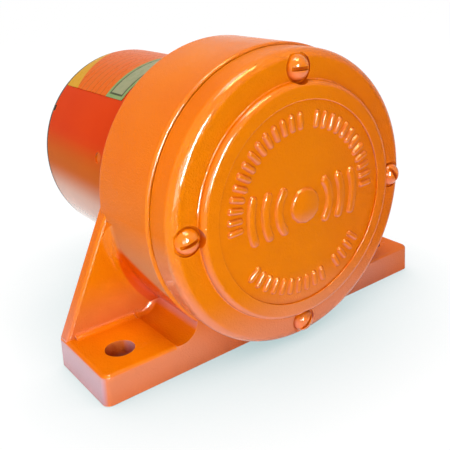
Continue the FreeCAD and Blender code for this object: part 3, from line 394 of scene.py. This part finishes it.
metalLooks = {
    "bearing_steel": {
        "bright": (0.66, 0.66, 0.67), "dull": (0.44, 0.44, 0.46), "stain": (0.16, 0.12, 0.08),
        "smooth": 0.12, "rough": 0.28, "lines": 2200.0},
    "shaft_steel": {
        "bright": (0.60, 0.60, 0.61), "dull": (0.38, 0.38, 0.40), "stain": (0.15, 0.11, 0.08),
        "smooth": 0.18, "rough": 0.36, "lines": 1500.0},
    "spring_steel": {
        "bright": (0.36, 0.37, 0.40), "dull": (0.18, 0.18, 0.21), "stain": (0.10, 0.08, 0.06),
        "smooth": 0.22, "rough": 0.42, "pull": (500.0, 500.0, 60.0)},
    "weight_iron": {
        "bright": (0.30, 0.29, 0.28), "dull": (0.17, 0.16, 0.15), "stain": (0.12, 0.07, 0.04),
        "smooth": 0.38, "rough": 0.62, "lines": 700.0},
    "black_screw": {
        "bright": (0.07, 0.07, 0.075), "dull": (0.03, 0.03, 0.032), "stain": (0.16, 0.13, 0.11),
        "smooth": 0.30, "rough": 0.50, "pull": (600.0, 80.0, 600.0)},
    "plated_screw": {
        "bright": (0.68, 0.66, 0.58), "dull": (0.46, 0.44, 0.36), "stain": (0.20, 0.16, 0.10),
        "smooth": 0.20, "rough": 0.38, "lines": 1900.0},
    "lamination_steel": {
        "bright": (0.34, 0.34, 0.35), "dull": (0.12, 0.12, 0.13), "stain": (0.14, 0.09, 0.05),
        "smooth": 0.32, "rough": 0.55, "pull": (30.0, 2000.0, 30.0)},
    "winding_copper": {
        "bright": (0.72, 0.28, 0.12), "dull": (0.36, 0.11, 0.04), "stain": (0.20, 0.06, 0.02),
        "smooth": 0.20, "rough": 0.42, "pull": (900.0, 90.0, 900.0)},
    "commutator_copper": {
        "bright": (0.78, 0.40, 0.24), "dull": (0.44, 0.20, 0.11), "stain": (0.13, 0.07, 0.05),
        "smooth": 0.16, "rough": 0.36, "lines": 2000.0},
    "cage_brass": {
        "bright": (0.76, 0.56, 0.24), "dull": (0.50, 0.34, 0.12), "stain": (0.22, 0.14, 0.05),
        "smooth": 0.20, "rough": 0.38, "lines": 1800.0},
    "holder_brass": {
        "bright": (0.78, 0.58, 0.26), "dull": (0.52, 0.36, 0.14), "stain": (0.24, 0.15, 0.06),
        "smooth": 0.22, "rough": 0.42, "pull": (60.0, 60.0, 900.0)},
    "bush_bronze": {
        "bright": (0.60, 0.38, 0.18), "dull": (0.36, 0.20, 0.09), "stain": (0.16, 0.09, 0.04),
        "smooth": 0.30, "rough": 0.52, "lines": 1300.0},
}


# what all bare metals share
metalSkin = {
    "wobble": 1.5, "reach": 0.002, "harshness": 1.3, "shutShare": 0.7,
    "rubWidth": 0.0003, "rubGain": 8.0, "rubBreaks": 900.0,
    "patchScale": 220.0, "patchBand": (0.55, 0.8), "patchShare": 0.35, "strength": 0.25, "depth": 0.00004,
}


def metalFinish(name, look, common):
    material, tree, surface = startFinish(name, {"Metallic": 1.0})
    if "lines" in look:
        grain = useGroup(tree, turnedLines, Lines=look["lines"], Wobble=common["wobble"])
    else:
        grain = useGroup(tree, pulledGrain, Stretch=look["pull"])
    shut = useGroup(tree, cavityShade, Reach=common["reach"], Harshness=common["harshness"])["Mask"]
    rubbed = useGroup(tree, edgeRub, Width=common["rubWidth"], Gain=common["rubGain"],
                      Breaks=common["rubBreaks"])["Mask"]
    cloud = noise(tree, partPlace(tree), common["patchScale"], 4.0, 0.6)
    patch = spread(tree, cloud, *common["patchBand"])
    colour = layColours(tree, look["dull"], [
        (grain["Tone"], look["bright"]), (times(tree, patch, common["patchShare"]), look["stain"]),
        # rubbed edges bright; painted shade in corners and seams, in the stain colour
        (rubbed, look["bright"]), (times(tree, shut, common["shutShare"]), look["stain"])])
    feed(tree, surface["Base Color"], colour)
    feed(tree, surface["Roughness"], spread(tree, patch, 0.0, 1.0, look["smooth"], look["rough"]))
    feed(tree, surface["Normal"], bump(tree, grain["Height"], common["strength"], common["depth"]))
    return material


mouldedLooks = {
    "seal_rubber": {
        "main": (0.022, 0.021, 0.021), "other": (0.040, 0.038, 0.036), "worn": (0.10, 0.095, 0.09),
        "smooth": 0.42, "rough": 0.62, "grain": 900.0, "depth": 0.00008},
    "inlet_rubber": {
        "main": (0.020, 0.020, 0.021), "other": (0.036, 0.035, 0.034), "worn": (0.09, 0.088, 0.085),
        "smooth": 0.40, "rough": 0.60, "grain": 800.0, "depth": 0.0001},
    "gasket_sheet": {
        "main": (0.20, 0.045, 0.008), "other": (0.10, 0.028, 0.008), "worn": (0.30, 0.10, 0.03),
        "smooth": 0.60, "rough": 0.85, "grain": 1400.0, "depth": 0.0001},
    "magnet_ferrite": {
        "main": (0.050, 0.050, 0.055), "other": (0.085, 0.083, 0.085), "worn": (0.16, 0.155, 0.15),
        "smooth": 0.45, "rough": 0.70, "grain": 1100.0, "depth": 0.00008},
    "phenolic_board": {
        "main": (0.22, 0.085, 0.028), "other": (0.13, 0.048, 0.018), "worn": (0.34, 0.16, 0.07),
        "smooth": 0.28, "rough": 0.48, "grain": 520.0, "depth": 0.00005},
    "carbon": {
        "main": (0.030, 0.030, 0.032), "other": (0.060, 0.060, 0.064), "worn": (0.12, 0.12, 0.125),
        "smooth": 0.34, "rough": 0.58, "grain": 1600.0, "depth": 0.00006},
    "black_cap": {
        "main": (0.030, 0.027, 0.020), "other": (0.055, 0.050, 0.034), "worn": (0.16, 0.15, 0.12),
        "smooth": 0.30, "rough": 0.52, "grain": 650.0, "depth": 0.00015},
}


# what rubber, sheet, board, carbon and the black cap share
mouldedSkin = {
    "shine": 0.4, "swellShare": 0.3, "peelShare": 0.6, "reach": 0.002, "harshness": 1.3,
    "rubWidth": 0.0004, "rubGain": 5.0, "rubBreaks": 700.0, "dust": 0.3,
    "shut": (0.008, 0.006, 0.005), "shutShare": 0.6, "strength": 0.35,
}


def mouldedFinish(name, look, common):
    material, tree, surface = startFinish(name, {
        "Metallic": 0.0, "IOR": 1.5, "Specular IOR Level": common["shine"]})
    skin = useGroup(tree, castSkin, Swell=look["grain"] * common["swellShare"], Peel=look["grain"],
                    PeelShare=common["peelShare"])
    shut = useGroup(tree, cavityShade, Reach=common["reach"], Harshness=common["harshness"])["Mask"]
    rubbed = useGroup(tree, edgeRub, Width=common["rubWidth"], Gain=common["rubGain"],
                      Breaks=common["rubBreaks"])["Mask"]
    dust = useGroup(tree, settledDust, Amount=common["dust"])["Mask"]
    colour = layColours(tree, look["main"], [
        (skin["Mottle"], look["other"]), (skin["Height"], look["main"]), (rubbed, look["worn"]),
        # dust pale where it settles; painted shade in corners and seams
        (dust, look["worn"]), (times(tree, shut, common["shutShare"]), common["shut"])])
    feed(tree, surface["Base Color"], colour)
    feed(tree, surface["Roughness"], spread(tree, skin["Mottle"], 0.0, 1.0, look["smooth"], look["rough"]))
    feed(tree, surface["Normal"], bump(tree, skin["Height"], common["strength"], look["depth"]))
    return material


# the printed film on the shell: its fields go by how far back and how far round they lie
labelLook = {
    "panel": (0.74, 0.120, 0.001), "band": (0.66, 0.34, 0.02), "strip": (0.22, 0.34, 0.14),
    "field": (0.30, 0.33, 0.20), "ink": (0.035, 0.030, 0.018), "fibre": (0.5, 0.3, 0.1),
    "stripEnd": 0.0138, "frameLine": 0.0009, "frameGap": 0.0016, "halfSpan": 43.0, "radius": 0.0453,
    "bandStart": 0.0407, "bandSlant": 0.0182, "bandFrom": 134.0, "ruleGap": 0.0046, "ruleWidth": 0.00032,
    "fibreScale": 380.0, "fibreShare": 0.12, "ruleShare": 0.6, "inkShare": 0.85, "shine": 0.02,
    "smooth": 0.22, "rough": 0.36, "strength": 0.1, "depth": 0.00005,
}


def labelMasks(tree, look):
    spot = axes(tree, partPlace(tree))
    back = calc(tree, "SUBTRACT", spot["Y"], labelLow.y)
    aboutAxis = calc(tree, "ARCTAN2", calc(tree, "SUBTRACT", spot["Z"], shaftHeight), spot["X"])
    edge = look["stripEnd"]
    inStrip = calc(tree, "LESS_THAN", back, edge)
    # a closed line a little inside the strip's four sides
    fromLong = calc(tree, "MINIMUM", back, calc(tree, "ABSOLUTE", calc(tree, "SUBTRACT", back, edge)))
    fromTop = calc(tree, "ABSOLUTE", calc(tree, "SUBTRACT", aboutAxis, math.pi / 2))
    fromEnd = calc(tree, "SUBTRACT", math.radians(look["halfSpan"]), fromTop)
    fromSide = calc(tree, "MINIMUM", fromLong, times(tree, fromEnd, look["radius"]))
    overGap = calc(tree, "GREATER_THAN", fromSide, look["frameGap"])
    underLine = calc(tree, "LESS_THAN", fromSide, look["frameGap"] + look["frameLine"])
    frameInk = times(tree, overGap, underLine, inStrip)
    inField = times(tree, inStrip, opposite(tree, underLine))
    # the band's edge runs slantwise, further back the nearer it comes to the top
    beforeBand = calc(tree, "SUBTRACT", math.radians(look["bandFrom"]), aboutAxis)
    bandEdge = calc(tree, "ADD", times(tree, beforeBand, look["bandSlant"]), look["bandStart"])
    inBand = calc(tree, "GREATER_THAN", back, bandEdge)
    # empty ruled fields across the panel
    step = calc(tree, "MODULO", calc(tree, "SUBTRACT", back, edge), look["ruleGap"])
    rule = calc(tree, "LESS_THAN", step, look["ruleWidth"])
    pastStrip = calc(tree, "GREATER_THAN", back, edge + look["ruleGap"])
    inRule = times(tree, rule, pastStrip, opposite(tree, inBand))
    ink = calc(tree, "MAXIMUM", frameInk, times(tree, inRule, look["ruleShare"]))
    return inBand, inStrip, inField, ink


def labelFinish(name, look):
    material, tree, surface = startFinish(name, {
        "Metallic": 0.0, "IOR": 1.5, "Specular IOR Level": look["shine"]})
    inBand, inStrip, inField, ink = labelMasks(tree, look)
    fibre = spread(tree, noise(tree, partPlace(tree), look["fibreScale"], 3.0), 0.3, 0.7)
    colour = layColours(tree, look["panel"], [
        (inBand, look["band"]), (inStrip, look["strip"]), (inField, look["field"]),
        (times(tree, fibre, look["fibreShare"]), look["fibre"]),
        (times(tree, ink, look["inkShare"]), look["ink"])])
    feed(tree, surface["Base Color"], colour)
    feed(tree, surface["Roughness"], spread(tree, fibre, 0.0, 1.0, look["smooth"], look["rough"]))
    feed(tree, surface["Normal"], bump(tree, fibre, look["strength"], look["depth"]))
    return material


finishes = {}
for slotName, look in enamelLooks.items():
    finishes[slotName] = enamelFinish(slotName + "Finish", look, enamelCoat)
for slotName, look in metalLooks.items():
    finishes[slotName] = metalFinish(slotName + "Finish", look, metalSkin)
for slotName, look in mouldedLooks.items():
    finishes[slotName] = mouldedFinish(slotName + "Finish", look, mouldedSkin)
finishes["label_film"] = labelFinish("labelFilmFinish", labelLook)

for name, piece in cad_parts.items():
    for place in piece.material_slots:
        place.material = finishes[place.material.name.split(".")[0]]
print("finishes given to", len(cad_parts), "nodes")


# raised ornament cast on the cover's disc: two rows of bars round a boss with arcs to both sides
reliefLook = {
    "discBelowRing": 0.0008, "height": 0.00098,
    "rowRadius": 0.0318, "barLength": 0.0064, "barWidth": 0.0022,
    "rows": ({"from": 183.0, "to": 2.0, "bars": 27, "space": 14},
             {"from": 219.0, "to": 322.0, "bars": 15, "space": 10}),
    "bossRadius": 0.0068, "bossStub": 0.00001, "arcWidth": 0.0034, "arcSteps": 8,
    "arcs": ({"radius": 0.0125, "half": 36.0}, {"radius": 0.0187, "half": 24.0},
             {"radius": 0.0250, "half": 18.0}),
}
# a rib's section from its foot up: how far the outline is drawn in, and how high that layer lies
ribProfile = ((-0.00045, -0.00025), (-0.00022, 0.00008), (-0.00005, 0.0003), (0.0001, 0.0006),
              (0.00033, 0.00082))
ribTop = 0.0007
ribTipSteps = 6
ribLeastRadius = 0.0002


def ribOutline(line, radius):
    # once round the line: half a circle at each end, and the points between set off to one side
    outline = []
    for run in (line, line[::-1]):
        tip = Vector(run[0])
        away = math.atan2(*(tip - Vector(run[1])).yx)
        for step in range(ribTipSteps + 1):
            angle = away - math.pi / 2 + math.pi * step / ribTipSteps
            outline.append(tip + radius * Vector((math.cos(angle), math.sin(angle))))
        for before, spot, after in zip(run, run[1:], run[2:]):
            along = (Vector(after) - Vector(before)).normalized()
            outline.append(Vector(spot) + radius * Vector((along.y, -along.x)))
    return outline


def addRib(mesh, line, width, front, height):
    # a closed rounded rib along a line on the disc
    rings = []
    for inset, rise in (*ribProfile, (ribTop, height)):
        outline = ribOutline(line, max(width / 2 - inset, ribLeastRadius))
        rings.append([mesh.verts.new((spot.x, front - rise, shaftHeight + spot.y)) for spot in outline])
    for lower, upper in zip(rings, rings[1:]):
        for here in range(len(lower)):
            beyond = (here + 1) % len(lower)
            mesh.faces.new((lower[here], lower[beyond], upper[beyond], upper[here]))
    mesh.faces.new(rings[-1])
    mesh.faces.new(rings[0][::-1])


def addBars(mesh, look, row, front):
    reach = (look["barLength"] - look["barWidth"]) / 2
    for place in range(row["bars"]):
        # a plain space parts the row in two
        if place != row["space"]:
            angle = math.radians(row["from"] + (row["to"] - row["from"]) * place / (row["bars"] - 1))
            out = Vector((math.cos(angle), math.sin(angle)))
            line = [out * (look["rowRadius"] - reach), out * (look["rowRadius"] + reach)]
            addRib(mesh, line, look["barWidth"], front, look["height"])


def addArcs(mesh, look, arc, front):
    for side in (0.0, 180.0):
        line = []
        for step in range(look["arcSteps"] + 1):
            angle = math.radians(side - arc["half"] + 2 * arc["half"] * step / look["arcSteps"])
            line.append((arc["radius"] * math.cos(angle), arc["radius"] * math.sin(angle)))
        addRib(mesh, line, look["arcWidth"], front, look["height"])


def buildRelief(look):
    front = coverLow.y + look["discBelowRing"]
    mesh = bmesh.new()
    for row in look["rows"]:
        addBars(mesh, look, row, front)
    # the shaking mark: a round boss with arcs to both sides
    stub = [(-look["bossStub"], 0.0), (look["bossStub"], 0.0)]
    addRib(mesh, stub, 2 * look["bossRadius"], front, look["height"])
    for arc in look["arcs"]:
        addArcs(mesh, look, arc, front)
    bmesh.ops.recalc_face_normals(mesh, faces=mesh.faces)
    data = bpy.data.meshes.new("coverRelief")
    mesh.to_mesh(data)
    mesh.free()
    for face in data.polygons:
        face.use_smooth = True
    piece = bpy.data.objects.new("coverRelief", data)
    scene.collection.objects.link(piece)
    piece.data.materials.append(finishes["casting_enamel"])
    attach(piece, "frame")
    return piece


relief = buildRelief(reliefLook)
print("cover relief:", len(relief.data.polygons), "faces")


def buildSprings():
    # outer is the corner of the spring's box that stays put, 0 its lowest or 1 its highest
    for side, outer in (("upper", 1), ("lower", 0)):
        node = side + "_brush_spring"
        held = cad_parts[node]
        coil = bpy.data.objects.new(side + "SpringCoil", held.data.copy())
        coil.matrix_world = held.matrix_world.copy()
        scene.collection.objects.link(coil)
        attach(coil, "frame")
        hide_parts(node)
        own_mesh(coil)


buildSprings()
print("brush springs made ready to shorten")


# floor, room, lamps and camera
floorLook = {
    "size": 3.0, "drop": 0.0003, "open": (0.985, 0.985, 0.985), "shade": (0.40, 0.55, 0.56),
    "shadeReach": 0.066, "catch": (0.05, 0.05, 0.05), "plain": (0.78, 0.74, 0.72),
}


def buildFloor(look):
    mesh = bmesh.new()
    bmesh.ops.create_grid(mesh, x_segments=2, y_segments=2, size=look["size"])
    data = bpy.data.meshes.new("studioFloor")
    mesh.to_mesh(data)
    mesh.free()
    floor = bpy.data.objects.new("studioFloor", data)
    floor.location.z = housingLow.z - look["drop"]
    scene.collection.objects.link(floor)
    material = bpy.data.materials.new("floorPaper")
    material.use_nodes = True
    tree = material.node_tree
    tree.nodes.remove(tree.nodes["Principled BSDF"])
    plain = addNode(tree, "ShaderNodeBsdfDiffuse", {"Color": look["plain"]}).outputs[0]
    catch = addNode(tree, "ShaderNodeBsdfDiffuse", {"Color": look["catch"]}).outputs[0]
    around = addNode(tree, "ShaderNodeAmbientOcclusion", {"Distance": look["shadeReach"]}, samples=16)
    tone = blendColour(tree, around.outputs["AO"], look["shade"], look["open"])
    glow = addNode(tree, "ShaderNodeEmission", {"Color": tone, "Strength": 1.0}).outputs[0]
    both = addNode(tree, "ShaderNodeAddShader", {0: catch, 1: glow}).outputs[0]
    shown = addNode(tree, "ShaderNodeMixShader", {0: seenDirectly(tree), 1: plain, 2: both}).outputs[0]
    feed(tree, tree.nodes["Material Output"].inputs["Surface"], shown)
    data.materials.append(material)


roomLook = {
    "light": (1.0, 0.98, 0.96), "shown": (1.0, 1.0, 1.0),
    "leftLevel": 0.42, "rightLevel": 0.17, "blend": 0.8,
}


def buildRoom(look):
    world = bpy.data.worlds.new("studioRoom")
    world.use_nodes = True
    scene.world = world
    tree = world.node_tree
    side = axes(tree, addNode(tree, "ShaderNodeTexCoord").outputs["Generated"])["X"]
    level = spread(tree, side, -look["blend"], look["blend"], look["leftLevel"], look["rightLevel"])
    soft = addNode(tree, "ShaderNodeBackground", {"Color": look["light"], "Strength": level}).outputs[0]
    white = addNode(tree, "ShaderNodeBackground", {"Color": look["shown"], "Strength": 1.0}).outputs[0]
    shown = addNode(tree, "ShaderNodeMixShader", {0: seenDirectly(tree), 1: soft, 2: white}).outputs[0]
    feed(tree, tree.nodes["World Output"].inputs["Surface"], shown)


# some lamps only light and some only shine, so that glints can be set apart from the light
lampAimBack = 0.02
lampLooks = {
    "stripLamp": {"place": (-0.21, -0.88, 0.28), "wide": 0.22, "tall": 0.48, "power": 34.0,
                  "tint": (1.0, 0.99, 0.96), "lights": False, "shines": True},
    "highLamp": {"place": (0.02, -0.36, 0.88), "wide": 0.36, "tall": 0.20, "power": 9.0,
                 "tint": (1.0, 0.80, 0.30), "lights": False, "shines": True},
    "frontLamp": {"place": (-0.27, -0.34, 0.13), "wide": 0.20, "tall": 0.20, "power": 1.05,
                  "tint": (1.0, 0.99, 0.95), "lights": True, "shines": True},
    "topLamp": {"place": (-0.10, -0.10, 0.86), "wide": 0.30, "tall": 0.30, "power": 3.5,
                "tint": (1.0, 0.97, 0.90), "lights": True, "shines": True},
    "backLamp": {"place": (0.45, 0.85, 0.42), "wide": 0.50, "tall": 0.40, "power": 5.0,
                 "tint": (1.0, 0.98, 0.95), "lights": True, "shines": False},
    "sideLamp": {"place": (-0.80, 0.10, 0.35), "wide": 0.40, "tall": 0.40, "power": 0.9,
                 "tint": (1.0, 0.86, 0.72), "lights": True, "shines": False},
}


def buildLamps(looks):
    aim = Vector((0, lampAimBack, shaftHeight))
    for name, look in looks.items():
        light = bpy.data.lights.new(name, "AREA")
        light.shape = "RECTANGLE"
        light.size, light.size_y = look["wide"], look["tall"]
        light.energy = look["power"]
        light.color = look["tint"]
        lamp = bpy.data.objects.new(name, light)
        lamp.location = look["place"]
        lamp.visible_diffuse = look["lights"]
        lamp.visible_glossy = look["shines"]
        lamp.rotation_euler = (aim - lamp.location).to_track_quat("-Z", "Y").to_euler()
        scene.collection.objects.link(lamp)


viewLook = {"place": (-0.149910, -0.196647, 0.143150), "yaw": 39.86, "pitch": -23.07, "roll": 1.79,
            "lens": 52.28, "sensor": 36.0, "shiftX": -0.1349, "shiftY": 0.0172,
            "nearest": 0.005, "furthest": 20.0}


def buildCamera(look):
    data = bpy.data.cameras.new("studioCamera")
    data.sensor_width = look["sensor"]
    data.lens = look["lens"]
    data.shift_x, data.shift_y = look["shiftX"], look["shiftY"]
    data.clip_start, data.clip_end = look["nearest"], look["furthest"]
    camera = bpy.data.objects.new("studioCamera", data)
    yaw, pitch = math.radians(look["yaw"]), math.radians(look["pitch"])
    ahead = Vector((math.sin(yaw) * math.cos(pitch), math.cos(yaw) * math.cos(pitch), math.sin(pitch)))
    level = ahead.to_track_quat("-Z", "Y").to_matrix()
    turned = level @ Matrix.Rotation(math.radians(-look["roll"]), 3, "Z")
    camera.matrix_world = Matrix.Translation(look["place"]) @ turned.to_4x4()
    scene.collection.objects.link(camera)
    scene.camera = camera


buildFloor(floorLook)
buildRoom(roomLook)
buildLamps(lampLooks)
buildCamera(viewLook)
scene.view_settings.view_transform = "Standard"
print("floor, room, lamps and camera in place")
